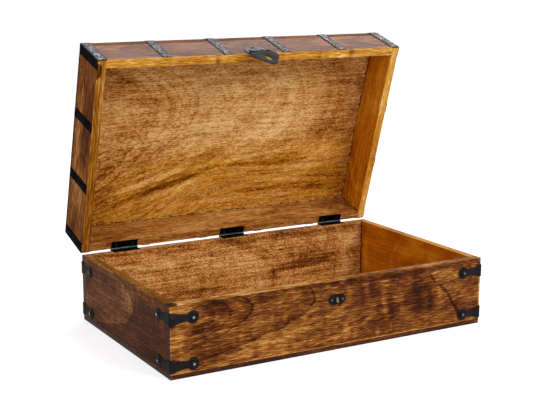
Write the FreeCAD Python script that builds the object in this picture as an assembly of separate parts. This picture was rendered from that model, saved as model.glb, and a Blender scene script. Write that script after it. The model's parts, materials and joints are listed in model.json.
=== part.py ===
import FreeCAD, Part

import math
import os

# A boarded sea chest: an open box, a deep lid on three butt hinges, iron straps over the lid,
# brackets round the box corners, and a hasp that drops over a staple.
# Millimetres. X runs left to right, Y front to back, Z up; the origin is the middle of the underside.
# The lid and its fittings are drawn shut, then swung open about the hinge pins.

os.makedirs("parts", exist_ok=True)
V = FreeCAD.Vector
LEFTWARD = V(-1, 0, 0)

# ---- Leading sizes ---------------------------------------------------------------------------
CHEST_W = 450.0              # outside width
CHEST_D = 270.0              # outside depth
BASE_H = 89.0                # underside to the rim of the box
LID_H = 59.0                 # rim of the lid to the top of its panel
BOARD_T = 11.0               # wall boards
BOTTOM_T = 6.0               # bottom board, planted under the walls
TOP_T = 10.0                 # lid panel, planted on the lid walls
RIM_GAP = 1.2                # between the rims of the box and the lid
LID_OPEN = 73.0              # how far the lid stands open
EASE = 0.8                   # softened board edges

IRON_T = 1.0                 # straps and brackets
STRAP_W = 13.0
STRAP_SHORT = 0.8            # a strap stops this far from the rim
STRAP_LAP_RUN = 3.0          # run of the step where one strap climbs over another
STRAP_LAP_PLAY = 0.3         # from the edge of the lower strap to that step
CROSS_STRAPS = 6             # front to back over the lid
LONG_STRAPS = 4              # left to right over the lid

BRACKET_H = 16.0             # at the corner
BRACKET_NECK = 8.6
BRACKET_REACH = 29.0         # corner to the middle of the round end
BRACKET_LOBE_R = 7.7
BRACKET_IN = (16.0, 17.0)    # middle of the lower row above the underside, of the upper below the rim
NAIL_HEAD_R, NAIL_HEAD_H = 4.0, 2.6
NAIL_SHANK_R, NAIL_SHANK_L = 1.0, 9.5
POINT_L = 2.0                # point of a nail or screw

HINGE_L = 38.0
HINGE_IN = 61.0              # side of the chest to the middle of an outer hinge
HINGE_LEAF_W, HINGE_LEAF_T = 10.8, 1.2        # width on the rim
HINGE_BARREL_R = 2.2
HINGE_PIN_R = 1.05
HINGE_SET = 1.4              # pin axis behind the back of the chest
HINGE_LET_IN = 0.7           # a leaf is let into its rim by this much
HINGE_PLAY = 0.1             # round a leaf in its seat
HINGE_SCREW_PITCH = 24.0
SCREW_HEAD_R, SCREW_SHANK_R, SCREW_SHANK_L = 2.3, 1.1, 9.5
SCREW_EDGE_T = 0.15          # straight edge of the countersunk head
SCREW_SLOT_W, SCREW_SLOT_D = 0.6, 0.45
KNUCKLE_GAP = 0.3            # between knuckles, and round a knuckle that turns past a plate
RUNNING = 0.05               # radial play of a knuckle on its pin

HASP_T = 1.2                 # hasp and staple plates
HASP_PLATE_H = 24.4          # rim of the lid to the top of the plate
HASP_PLATE_SQUARE = 10.0     # height of its straight sides
HASP_BARREL_R = 2.5
HASP_PIN_R = 1.1
HASP_L = 30.0                # barrel length
HASP_SET = 2.8               # pin axis in front of the chest
HASP_DROP = 2.4              # pin axis below the rim of the lid
HASP_KNUCKLE_W = 13.0        # the leaf's own knuckle
HASP_LEAF_W = 39.0
HASP_LEAF_L = 40.5           # pin axis to the tip
HASP_SHOULDER = (8.5, 17.0)  # pin axis to where the sides start and stop
HASP_TIP_W = 6.8
LEAF_CORNER_R = 2.6
HASP_LEAN = 3.5              # how far the leaf hangs in towards the chest
HASP_SLOT_S = 22.0           # pin axis to the middle of the slot
HASP_SLOT_W, HASP_SLOT_H = 7.0, 14.0

STAPLE_W, STAPLE_H = 24.5, 12.6
STAPLE_NAIL_IN = 4.3         # end of the plate to its nail
SHUT_GAP = 0.2               # between the front rims when the lid is down
EYE_R, EYE_WALL, EYE_T = 3.4, 2.2, 2.4
EYE_OUT = 4.6                # plate to the middle of the eye
SMALL_HEAD_R, SMALL_HEAD_H = 2.2, 1.0
SMALL_SHANK_R, SMALL_SHANK_L = 0.8, 9.0

# ---- Sizes that follow -----------------------------------------------------------------------
X1, Y1 = CHEST_W / 2, CHEST_D / 2
X0, Y0 = -X1, -Y1
LID_RIM = BASE_H + RIM_GAP
LID_TOP = LID_RIM + LID_H
LID_WALL_TOP = LID_TOP - TOP_T
PIN_Y, PIN_Z = Y1 + HINGE_SET, BASE_H + RIM_GAP / 2
BASE_SEAT, LID_SEAT = BASE_H - HINGE_LET_IN, LID_RIM + HINGE_LET_IN      # where the leaves lie
HASP_Y, HASP_Z = Y0 - HASP_SET, LID_RIM - HASP_DROP
STAPLE_Z = HASP_Z - (RIM_GAP - SHUT_GAP) - HASP_SLOT_S      # under the slot when the lid is down
BRACKET_Z = (BRACKET_IN[0], BASE_H - BRACKET_IN[1])
HINGE_X = (X0 + HINGE_IN, 0.0, X1 - HINGE_IN)
CROSS_X = [X0 + STRAP_W / 2 + i * (CHEST_W - STRAP_W) / (CROSS_STRAPS - 1) for i in range(CROSS_STRAPS)]
LONG_Y = [Y0 + STRAP_W / 2 + i * (CHEST_D - STRAP_W) / (LONG_STRAPS - 1) for i in range(LONG_STRAPS)]


# ---- Shape helpers ---------------------------------------------------------------------------
def block(x0, x1, y0, y1, z0, z1):
    """Box between two values on each axis."""
    return Part.makeBox(x1 - x0, y1 - y0, z1 - z0, V(x0, y0, z0))


def prism(points, along):
    """Closed polygon of 3-D points, pushed along a vector."""
    wire = Part.makePolygon([V(*p) for p in points] + [V(*points[0])])
    return Part.Face(wire).extrude(V(*along))


def rod(x0, x1, y, z, radius):
    """Round bar along X."""
    return Part.makeCylinder(radius, x1 - x0, V(x0, y, z), V(1, 0, 0))


def oval(x_radius, z_radius, y, z, depth):
    """Upright oval, its back at y and its depth towards the front."""
    middle = V(0, y, z)
    edge = Part.Ellipse(middle, max(x_radius, z_radius), min(x_radius, z_radius)).toShape()
    if z_radius > x_radius:
        edge.rotate(middle, V(0, 0, 1), 90)
    edge.rotate(middle, V(1, 0, 0), 90)
    return Part.Face(Part.Wire([edge])).extrude(V(0, -depth, 0))


def turned(profile, at, direction):
    """Half profile of (radius, height) points or three-point arcs, turned and set on a face."""
    edges = []
    for a, b in zip(profile, profile[1:]):
        start, end = V(a[0], 0, a[1]), V(b[0], 0, b[1])
        if len(b) == 4:
            edges.append(Part.Arc(start, V(b[2], 0, b[3]), end).toShape())
        else:
            edges.append(Part.makeLine(start, end))
    edges.append(Part.makeLine(V(profile[-1][0], 0, profile[-1][1]), V(profile[0][0], 0, profile[0][1])))
    solid = Part.Face(Part.Wire(edges)).revolve(V(0, 0, 0), V(0, 0, 1), 360)
    solid = Part.makeSolid(solid) if solid.ShapeType != "Solid" else solid
    solid.Placement = FreeCAD.Placement(V(*at), FreeCAD.Rotation(V(0, 0, 1), V(*direction)))
    return solid


def dome_nail(at, direction, head_r, head_h, shank_r, shank_l):
    """Nail with a domed head seated at a point, its shank driven the other way."""
    rim = 0.25 * head_h
    half = math.sqrt(0.5)
    profile = [(0, head_h), (head_r, rim, head_r * half, rim + (head_h - rim) * half),
               (head_r, 0), (shank_r, 0), (shank_r, POINT_L - shank_l), (0, -shank_l)]
    return turned(profile, at, direction)


def flat_screw(at, direction, head_r, sink, shank_r, shank_l):
    """Slotted countersunk screw whose head is flush at a point."""
    profile = [(0, 0), (head_r, 0), (head_r, -SCREW_EDGE_T), (shank_r, -sink),
               (shank_r, POINT_L - shank_l), (0, -shank_l)]
    screw = turned(profile, at, direction)
    corner = V(-2 * head_r, -SCREW_SLOT_W / 2, -SCREW_SLOT_D)
    slot = Part.makeBox(4 * head_r, SCREW_SLOT_W, 2 * SCREW_SLOT_D, corner)
    slot.Placement = FreeCAD.Placement(V(*at), FreeCAD.Rotation(V(0, 0, 1), V(*direction)))
    return screw.cut(slot)


def drilled(shape, fasteners):
    """Cut the seats and holes of the fasteners that reach into a shape."""
    box = shape.BoundBox
    near = [f for f in fasteners if box.intersect(f.BoundBox)]
    return shape.cut(near) if near else shape


def eased(shape, wanted, size=EASE):
    """Round the edges whose middle passes a test."""
    edges = [e for e in shape.Edges if wanted(e.valueAt((e.FirstParameter + e.LastParameter) / 2))]
    return shape.makeFillet(size, edges)


def let_in(shape):
    """Cut the seats of the hinge leaves and the hollows round their barrels."""
    for x in HINGE_X:
        x0, x1 = x - HINGE_L / 2 - HINGE_PLAY, x + HINGE_L / 2 + HINGE_PLAY
        seat = block(x0, x1, Y1 - HINGE_LEAF_W - HINGE_PLAY, PIN_Y, BASE_SEAT, LID_SEAT)
        barrel = rod(x0, x1, PIN_Y, PIN_Z, HINGE_BARREL_R + KNUCKLE_GAP)
        shape = shape.cut(seat).cut(barrel)
    return shape


def mirrored_x(shape):
    return shape.mirror(V(0, 0, 0), V(1, 0, 0))


def mirrored_y(shape):
    return shape.mirror(V(0, 0, 0), V(0, 1, 0))


def opened(shape):
    """Swing a lid piece from shut to its open position."""
    shape = shape.copy()
    shape.rotate(V(0, PIN_Y, PIN_Z), LEFTWARD, LID_OPEN)
    return shape


def hung(shape):
    """Lean the hasp leaf in about its own pin."""
    shape = shape.copy()
    shape.rotate(V(0, HASP_Y, HASP_Z), LEFTWARD, -HASP_LEAN)
    return shape


def save(name, shapes, placed=lambda shape: shape):
    """Write one piece, or one group of like pieces, as parts/NAME.step."""
    shapes = shapes if isinstance(shapes, list) else [shapes]
    solids = [solid for shape in shapes for solid in placed(shape).Solids]
    shape = solids[0] if len(solids) == 1 else Part.makeCompound(solids)
    assert all(s.isValid() and s.Volume > 0 for s in solids), name
    shape.exportStep("parts/%s.step" % name)


# ---- Brackets round the box corners ----------------------------------------------------------
def bracket_arm(z):
    """One arm on the front face, from the right-hand corner to its round end."""
    h, n = BRACKET_H / 2, BRACKET_NECK / 2
    lobe_x = X1 - BRACKET_REACH
    neck_x = lobe_x + math.sqrt(BRACKET_LOBE_R ** 2 - n ** 2)
    start_x, mid_x = X1 - 0.1 * BRACKET_REACH, X1 - 0.4 * BRACKET_REACH

    def at(x, v):
        return V(x, Y0, z + v)
    outline = [Part.makeLine(at(X1, -h), at(X1, h)), Part.makeLine(at(X1, h), at(start_x, h)),
               Part.Arc(at(start_x, h), at(mid_x, 0.35 * h + 0.65 * n), at(neck_x, n)).toShape(),
               Part.makeLine(at(neck_x, n), at(neck_x, -n)),
               Part.Arc(at(neck_x, -n), at(mid_x, -0.35 * h - 0.65 * n), at(start_x, -h)).toShape(),
               Part.makeLine(at(start_x, -h), at(X1, -h))]
    arm = Part.Face(Part.Wire(outline)).extrude(V(0, -IRON_T, 0))
    lobe = Part.makeCylinder(BRACKET_LOBE_R, IRON_T, at(lobe_x, 0), V(0, -1, 0))
    return arm.fuse(lobe).removeSplitter()


def bracket(z):
    """Bracket on the front right corner: a front arm, a side arm and the fold between them."""
    front = bracket_arm(z)
    side = front.mirror(V(X1, Y0, 0), V(1, 1, 0))
    fold = block(X1, X1 + IRON_T, Y0 - IRON_T, Y0, z - BRACKET_H / 2, z + BRACKET_H / 2)
    folded = front.fuse([side, fold]).removeSplitter()
    outer = (X1 + IRON_T, Y0 - IRON_T)
    return eased(folded, lambda p: abs(p.x - outer[0]) + abs(p.y - outer[1]) < 0.01, 1.4 * IRON_T)


def bracket_nails_at(z):
    """The two nails of that bracket."""
    size = (NAIL_HEAD_R, NAIL_HEAD_H, NAIL_SHANK_R, NAIL_SHANK_L)
    return [dome_nail((X1 - BRACKET_REACH, Y0 - IRON_T, z), (0, -1, 0), *size),
            dome_nail((X1 + IRON_T, Y0 + BRACKET_REACH, z), (1, 0, 0), *size)]


brackets, bracket_nails = {}, []
for row, z in zip(("low", "high"), BRACKET_Z):
    nails = bracket_nails_at(z)
    piece = drilled(bracket(z), nails)
    corners = {"front_right": [], "front_left": [mirrored_x], "back_right": [mirrored_y],
               "back_left": [mirrored_x, mirrored_y]}
    for corner, flips in corners.items():
        group = [piece] + nails
        for flip in flips:
            group = [flip(shape) for shape in group]
        brackets["bracket_%s_%s" % (corner, row)] = group[0]
        bracket_nails += group[1:]

# ---- Staple ----------------------------------------------------------------------------------
# A plate with rounded ends and an upright eye for a padlock, on the front of the box.
plate_y = Y0 - HASP_T
end_r = STAPLE_H / 2
plate = block(-STAPLE_W / 2 + end_r, STAPLE_W / 2 - end_r, plate_y, Y0, STAPLE_Z - end_r, STAPLE_Z + end_r)
for side in (-1, 1):
    end = Part.makeCylinder(end_r, HASP_T, V(side * (STAPLE_W / 2 - end_r), Y0, STAPLE_Z), V(0, -1, 0))
    plate = plate.fuse(end)
eye_y = plate_y - EYE_OUT
eye_outer = EYE_R + EYE_WALL
eye = rod(-EYE_T / 2, EYE_T / 2, eye_y, STAPLE_Z, eye_outer)
eye = eye.fuse(block(-EYE_T / 2, EYE_T / 2, eye_y, plate_y, STAPLE_Z - eye_outer, STAPLE_Z + eye_outer))
eye = eye.cut(rod(-EYE_T, EYE_T, eye_y, STAPLE_Z, EYE_R))
small_nail = (SMALL_HEAD_R, SMALL_HEAD_H, SMALL_SHANK_R, SMALL_SHANK_L)
staple_nail_x = STAPLE_W / 2 - STAPLE_NAIL_IN
staple_nails = [dome_nail((x, plate_y, STAPLE_Z), (0, -1, 0), *small_nail)
                for x in (-staple_nail_x, staple_nail_x)]
staple = drilled(plate.fuse(eye).removeSplitter(), staple_nails)


# ---- Butt hinges -----------------------------------------------------------------------------
def hinge_leaf(x, level, outer_knuckles, bore_r):
    """Leaf let into a rim, with its share of the three knuckles rolled round the pin."""
    third = HINGE_L / 3
    spans = [(-1.5 * third, -0.5 * third), (-0.5 * third, 0.5 * third), (0.5 * third, 1.5 * third)]
    mine = [spans[0], spans[2]] if outer_knuckles else [spans[1]]
    theirs = [s for s in spans if s not in mine]
    z0, z1 = sorted((level, level + (HINGE_LEAF_T if level < PIN_Z else -HINGE_LEAF_T)))
    leaf = block(x - HINGE_L / 2, x + HINGE_L / 2, Y1 - HINGE_LEAF_W, PIN_Y, z0, z1)
    clear = PIN_Y - HINGE_BARREL_R - KNUCKLE_GAP
    for a, b in theirs:
        leaf = leaf.cut(block(x + a, x + b, clear, PIN_Y + 1, z0 - 1, z1 + 1))
    trim = KNUCKLE_GAP / 2
    for a, b in mine:
        a, b = a + (trim if a > spans[0][0] else 0), b - (trim if b < spans[2][1] else 0)
        leaf = leaf.fuse(rod(x + a, x + b, PIN_Y, PIN_Z, HINGE_BARREL_R))
    for a, b in theirs:
        leaf = leaf.cut(block(x + a - trim, x + b + trim, clear, PIN_Y + 5, PIN_Z - 5, PIN_Z + 5))
    return leaf.cut(rod(x - HINGE_L, x + HINGE_L, PIN_Y, PIN_Z, bore_r)).removeSplitter()


screw_y = Y1 - HINGE_LEAF_W / 2
screw_size = (SCREW_HEAD_R, HINGE_LEAF_T, SCREW_SHANK_R, SCREW_SHANK_L)
screw_places = (-HINGE_SCREW_PITCH / 2, HINGE_SCREW_PITCH / 2)
hinges, base_screws, lid_screws = {}, [], []
for name, x in zip(("left", "middle", "right"), HINGE_X):
    below = [flat_screw((x + dx, screw_y, BASE_SEAT + HINGE_LEAF_T), (0, 0, 1), *screw_size)
             for dx in screw_places]
    above = [flat_screw((x + dx, screw_y, LID_SEAT - HINGE_LEAF_T), (0, 0, -1), *screw_size)
             for dx in screw_places]
    hinges["hinge_%s_base_leaf" % name] = drilled(hinge_leaf(x, BASE_SEAT, True, HINGE_PIN_R), below)
    hinges["hinge_%s_lid_leaf" % name] = drilled(hinge_leaf(x, LID_SEAT, False, HINGE_PIN_R + RUNNING), above)
    hinges["hinge_%s_pin" % name] = rod(x - HINGE_L / 2, x + HINGE_L / 2, PIN_Y, PIN_Z, HINGE_PIN_R)
    base_screws += below
    lid_screws += above

# ---- Box boards ------------------------------------------------------------------------------
# Front and back run the full width and cover the ends of the sides; the bottom is planted under all four.
box_fixings = bracket_nails + staple_nails + base_screws
base = {
    "base_front": block(X0, X1, Y0, Y0 + BOARD_T, BOTTOM_T, BASE_H),
    "base_back": block(X0, X1, Y1 - BOARD_T, Y1, BOTTOM_T, BASE_H),
    "base_left": block(X0, X0 + BOARD_T, Y0 + BOARD_T, Y1 - BOARD_T, BOTTOM_T, BASE_H),
    "base_right": block(X1 - BOARD_T, X1, Y0 + BOARD_T, Y1 - BOARD_T, BOTTOM_T, BASE_H),
}


def on_outer_corner(p):
    return abs(abs(p.x) - X1) < 0.01 and abs(abs(p.y) - Y1) < 0.01


def on_base_rim(p):
    """Long rim edges outside and inside, but not the short ends where boards meet."""
    outside = abs(abs(p.x) - X1) < 0.01 or abs(abs(p.y) - Y1) < 0.01
    return abs(p.z - BASE_H) < 0.01 and outside and not on_outer_corner(p)


for name, board in base.items():
    board = eased(board, lambda p: on_base_rim(p) or on_outer_corner(p))
    board = let_in(board) if name == "base_back" else board
    base[name] = drilled(board, box_fixings)
bottom = block(X0, X1, Y0, Y1, 0, BOTTOM_T)
base["base_bottom"] = eased(bottom, lambda p: on_outer_corner(p) or
                            (p.z < 0.01 and (abs(abs(p.x) - X1) < 0.01 or abs(abs(p.y) - Y1) < 0.01)))

# ---- Hasp ------------------------------------------------------------------------------------
# A plate nailed to the front of the lid and a slotted leaf hinged below it.
plate_half = HASP_L / 2
plate_foot = HASP_BARREL_R + KNUCKLE_GAP - HASP_DROP
square_z = LID_RIM + HASP_PLATE_SQUARE
crown = oval(plate_half, HASP_PLATE_H - HASP_PLATE_SQUARE, Y0, square_z, HASP_T)
hasp_plate = crown.common(block(-plate_half, plate_half, plate_y, Y0, square_z, LID_RIM + HASP_PLATE_H))
hasp_plate = hasp_plate.fuse(block(-plate_half, plate_half, plate_y, Y0, LID_RIM + plate_foot, square_z))
tab = HASP_KNUCKLE_W / 2
for side in (-1, 1):
    x0, x1 = sorted((side * (tab + KNUCKLE_GAP), side * HASP_L / 2))
    neck = block(x0, x1, plate_y, Y0 - KNUCKLE_GAP, HASP_Z, LID_RIM + plate_foot)
    hasp_plate = hasp_plate.fuse(neck)        # the neck stands clear of the box when shut
    hasp_plate = hasp_plate.fuse(rod(x0, x1, HASP_Y, HASP_Z, HASP_BARREL_R))
hasp_plate = hasp_plate.cut(rod(-HASP_L, HASP_L, HASP_Y, HASP_Z, HASP_PIN_R)).removeSplitter()
nail_in = 2.6 * SMALL_HEAD_R                  # nails stand this far in from the plate's edge
nail_places = [(0.0, HASP_PLATE_H - nail_in)]
nail_places += [(side * (plate_half - nail_in), HASP_PLATE_SQUARE - SMALL_HEAD_R / 2) for side in (-1, 1)]
hasp_nails = [dome_nail((x, plate_y, LID_RIM + v), (0, -1, 0), *small_nail) for x, v in nail_places]
hasp_plate = drilled(hasp_plate, hasp_nails)
hasp_pin = rod(-HASP_L / 2, HASP_L / 2, HASP_Y, HASP_Z, HASP_PIN_R)

leaf_back = HASP_Y - (HASP_BARREL_R - HASP_T)
leaf_top = HASP_BARREL_R + KNUCKLE_GAP        # the wide part starts clear of the plate's knuckles
leaf_half = HASP_LEAF_W / 2
leaf_outline = [(plate_half, leaf_top), (leaf_half, HASP_SHOULDER[0]), (leaf_half, HASP_SHOULDER[1]),
                (HASP_TIP_W / 2, HASP_LEAF_L)]
leaf_outline += [(-x, s) for x, s in reversed(leaf_outline)]
hasp_leaf = prism([(x, leaf_back, HASP_Z - s) for x, s in leaf_outline], (0, -HASP_T, 0))
leaf_corners = [(abs(x), HASP_Z - s) for x, s in leaf_outline if s > leaf_top]
hasp_leaf = eased(hasp_leaf, lambda p: any(abs(abs(p.x) - x) + abs(p.z - z) < 0.01 for x, z in leaf_corners),
                  LEAF_CORNER_R)
hasp_leaf = hasp_leaf.cut(oval(HASP_SLOT_W / 2, HASP_SLOT_H / 2, leaf_back, HASP_Z - HASP_SLOT_S, HASP_T))
hasp_leaf = hasp_leaf.fuse(block(-tab, tab, leaf_back - HASP_T, leaf_back, HASP_Z - leaf_top, HASP_Z))
hasp_leaf = hasp_leaf.fuse(rod(-tab, tab, HASP_Y, HASP_Z, HASP_BARREL_R))
hasp_leaf = hasp_leaf.cut(rod(-HASP_L, HASP_L, HASP_Y, HASP_Z, HASP_PIN_R + RUNNING)).removeSplitter()


# ---- Lid straps ------------------------------------------------------------------------------
def cross_strap(x):
    """Down the front, over the panel and down the back, tight on the wood."""
    low, high, t = LID_RIM + STRAP_SHORT, LID_TOP, IRON_T
    points = [(Y0 - t, low), (Y0 - t, high + t), (Y1 + t, high + t), (Y1 + t, low),
              (Y1, low), (Y1, high), (Y0, high), (Y0, low)]
    strap = prism([(x - STRAP_W / 2, y, z) for y, z in points], (STRAP_W, 0, 0))
    if abs(x) + STRAP_W / 2 > X1 - 0.01:      # an end strap also closes the upright corners
        x0, x1 = (X1, X1 + t) if x > 0 else (X0 - t, X0)
        for y0, y1 in ((Y0 - t, Y0), (Y1, Y1 + t)):
            strap = strap.fuse(block(x0, x1, y0, y1, low, high + t))
        strap = strap.removeSplitter()
    return strap


def long_strap(y):
    """Down both ends and along the panel, stepping up over every cross strap."""
    low, t = LID_RIM + STRAP_SHORT, IRON_T
    on_wood, on_iron = LID_TOP, LID_TOP + t
    under = []
    for x in CROSS_X:
        a, b = x - STRAP_W / 2 - STRAP_LAP_PLAY, x + STRAP_W / 2 + STRAP_LAP_PLAY
        under += [(a - STRAP_LAP_RUN, on_wood), (a, on_iron), (b, on_iron), (b + STRAP_LAP_RUN, on_wood)]
    under = [(X0, on_iron)] + under[2:-2] + [(X1, on_iron)]
    points = [(X0, low)] + under + [(X1, low), (X1 + t, low), (X1 + t, on_iron + t)]
    points += [(x, z + t) for x, z in reversed(under[1:-1])] + [(X0 - t, on_iron + t), (X0 - t, low)]
    return prism([(x, y - STRAP_W / 2, z) for x, z in points], (0, STRAP_W, 0))


# ---- Lid boards ------------------------------------------------------------------------------
# The ends run from front to back, the front and back fit between them and the panel lies on top.
lid_fixings = lid_screws + hasp_nails
lid = {
    "lid_front": block(X0 + BOARD_T, X1 - BOARD_T, Y0, Y0 + BOARD_T, LID_RIM, LID_WALL_TOP),
    "lid_back": block(X0 + BOARD_T, X1 - BOARD_T, Y1 - BOARD_T, Y1, LID_RIM, LID_WALL_TOP),
    "lid_left": block(X0, X0 + BOARD_T, Y0, Y1, LID_RIM, LID_WALL_TOP),
    "lid_right": block(X1 - BOARD_T, X1, Y0, Y1, LID_RIM, LID_WALL_TOP),
    "lid_top": block(X0, X1, Y0, Y1, LID_WALL_TOP, LID_TOP),
}


def on_lid_rim(p):
    outside = abs(abs(p.x) - X1) < 0.01 or abs(abs(p.y) - Y1) < 0.01
    return abs(p.z - LID_RIM) < 0.01 and outside and abs(p.x) < X1 + 1 and not on_outer_corner(p)


for name in ("lid_front", "lid_back"):
    lid[name] = eased(lid[name], lambda p: on_lid_rim(p) and abs(abs(p.y) - Y1) < 0.01)
lid["lid_back"] = let_in(lid["lid_back"])
for name in ("lid_left", "lid_right"):
    lid[name] = eased(lid[name], lambda p: on_lid_rim(p) and abs(abs(p.x) - X1) < 0.01)

# ---- Write every piece -----------------------------------------------------------------------
for name, shape in list(base.items()) + list(brackets.items()):
    save(name, shape)
save("bracket_nails", bracket_nails)
save("staple", staple)
save("staple_nails", staple_nails)
for name, shape in hinges.items():
    save(name, shape, opened if name.endswith("lid_leaf") else lambda s: s)
save("hinge_screws_base", base_screws)
save("hinge_screws_lid", lid_screws, opened)
for name, shape in lid.items():
    save(name, drilled(shape, lid_fixings), opened)
for number, x in enumerate(CROSS_X, 1):
    save("strap_cross_%d" % number, cross_strap(x), opened)
for number, y in enumerate(LONG_Y, 1):
    save("strap_long_%d" % number, long_strap(y), opened)
save("hasp_plate", hasp_plate, opened)
save("hasp_nails", hasp_nails, opened)
save("hasp_pin", hasp_pin, opened)
save("hasp_leaf", hung(hasp_leaf), opened)
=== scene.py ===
import json
import math
import bmesh
import bpy
from mathutils import Matrix, Vector


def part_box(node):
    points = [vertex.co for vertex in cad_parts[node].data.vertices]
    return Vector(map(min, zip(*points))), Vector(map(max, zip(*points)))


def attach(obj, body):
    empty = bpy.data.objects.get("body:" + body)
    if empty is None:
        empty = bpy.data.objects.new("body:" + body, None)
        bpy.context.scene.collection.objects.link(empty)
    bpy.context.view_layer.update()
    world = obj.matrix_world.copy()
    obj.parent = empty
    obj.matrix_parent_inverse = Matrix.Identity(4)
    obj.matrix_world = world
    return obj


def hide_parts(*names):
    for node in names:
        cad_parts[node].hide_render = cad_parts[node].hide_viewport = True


# A boarded sea chest with its lid standing open, on a pale floor.
# Metres, in the frame of the solids: X to the right, Y to the back, Z up. Sizes of grain are in mm.
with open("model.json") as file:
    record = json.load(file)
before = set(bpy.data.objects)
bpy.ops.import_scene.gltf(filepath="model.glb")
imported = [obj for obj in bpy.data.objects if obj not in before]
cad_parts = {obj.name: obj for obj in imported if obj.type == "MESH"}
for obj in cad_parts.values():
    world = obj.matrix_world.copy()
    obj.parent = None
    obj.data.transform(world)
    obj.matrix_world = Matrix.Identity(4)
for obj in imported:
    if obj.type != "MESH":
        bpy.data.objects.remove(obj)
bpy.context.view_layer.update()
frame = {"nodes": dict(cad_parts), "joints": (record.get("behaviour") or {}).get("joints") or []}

# ---- Boards of the box -----------------------------------------------
# Four walls of flat-sawn mango, glued edge to face, with a thin bottom planted under them. The
# outside is stained walnut and waxed; the rims are sanded back to the wood's own gold afterwards.


def add(tree, kind, feeds=(), out=0, **settings):
    """Add one node: settings are its properties, feeds its inputs by order or name."""
    prefixes = ("ShaderNode", "GeometryNode", "FunctionNode", "")
    made = tree.nodes.new(next(p + kind for p in prefixes if hasattr(bpy.types, p + kind)))
    for key, value in settings.items():
        if key == "stops":            # the colours of a ramp, as (place, hex)
            colours = made.color_ramp.elements
            while len(colours) < len(value):
                colours.new(0.5)
            for colour, (place, hexed) in zip(colours, value):
                colour.position = place
                colour.color = linear(hexed)
        else:
            setattr(made, key, value)
    for socket, value in feeds.items() if isinstance(feeds, dict) else enumerate(feeds):
        if isinstance(value, bpy.types.NodeSocket):
            tree.links.new(value, made.inputs[socket])
        else:
            made.inputs[socket].default_value = value
    return made.outputs if out is None else made.outputs[out] if made.outputs else made


def linear(hexed):
    """sRGB hex to linear RGBA."""
    parts = [int(hexed[i:i + 2], 16) / 255 for i in (1, 3, 5)]
    return (*[c / 12.92 if c <= 0.04045 else ((c + 0.055) / 1.055) ** 2.4 for c in parts], 1.0)


def new_material(name):
    """Empty material and its tree."""
    material = bpy.data.materials.new(name)
    material.use_nodes = True
    material.node_tree.nodes.clear()
    return material, material.node_tree


def dress(node, material):
    """Give a solid its finish."""
    slots = frame["nodes"][node].data.materials
    slots.clear()
    slots.append(material)


MM = 1000                    # the wood is drawn in millimetres
front_low, front_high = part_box("base_front")
half_w = MM * front_high.x
half_d = -MM * front_low.y
board_t = MM * (front_high.y - front_low.y)
BOX_LEVELS = (0.0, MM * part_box("base_bottom")[1].z, MM * front_high.z)

# Colours of the wood from its darkest fibre to its lightest: two stained outsides, then the bare
# insides and the rims.
WALNUT = [(0.0, "#280e04"), (0.27, "#4c210b"), (0.5, "#703a16"), (0.73, "#9b5e24"), (1.0, "#d8994a")]
DARK_WALNUT = [(0.0, "#1f0b02"), (0.3, "#411c0a"), (0.55, "#5f3317"), (0.8, "#7e4f2a"), (1.0, "#a07242")]
GOLD = [(0.0, "#562a06"), (0.27, "#925418"), (0.5, "#c3833e"), (0.73, "#e0aa64"), (1.0, "#f6d196")]
# The right-hand walls inside are bare wood deepened to a saturated orange, partly painted bounce light.
AMBER = [(0.0, "#662d00"), (0.3, "#a05200"), (0.55, "#bf6c06"), (0.8, "#d4881a"), (1.0, "#e6a838")]
HONEY = [(0.0, "#6a3a00"), (0.3, "#a66206"), (0.55, "#cf8c22"), (0.8, "#e5aa48"), (1.0, "#f8d284")]
TANNED = [(0.0, "#3a1c04"), (0.3, "#683c0c"), (0.55, "#875420"), (0.8, "#a87538"), (1.0, "#c89c60")]
SANDED = [(0.16, "#4e2400"), (0.36, "#844a06"), (0.52, "#aa6a22"), (0.69, "#ca914a"), (0.86, "#ecc48c")]
MASK, UNDER, OVER, MIXED = 0, 6, 7, 2        # a Mix node's sockets for colours
NOISE_STEP = 3.1             # keeps the noises of one board apart
THROUGH = 1e6                # longer than any board


def figured(tree, figure, seed, patterns, rough=0.5):
    """Add noises to a board's figure: name, what it follows, size of a lump in mm, and detail."""
    for name, way, lump, detail in patterns:
        feeds = [way, [1 / size for size in lump], [seed + NOISE_STEP * len(figure)] * 3]
        lumps = add(tree, "VectorMath", feeds, operation="MULTIPLY_ADD")
        feeds = {"Vector": lumps, "Scale": 1.0, "Detail": detail, "Roughness": rough}
        figure[name] = add(tree, "TexNoise", feeds)


def fanned(tree, u, v, side, slope, low, high):
    """Grain that turns down past one place along the board, by a slope that grows from low to high."""
    past = add(tree, "Math", [side, u], operation="SUBTRACT")
    past = add(tree, "Math", [past, 0.0], operation="MAXIMUM")
    turned = add(tree, "MapRange", [v, low, high, 0.0, -slope])
    return add(tree, "Math", [past, turned, v], operation="MULTIPLY_ADD")


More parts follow.
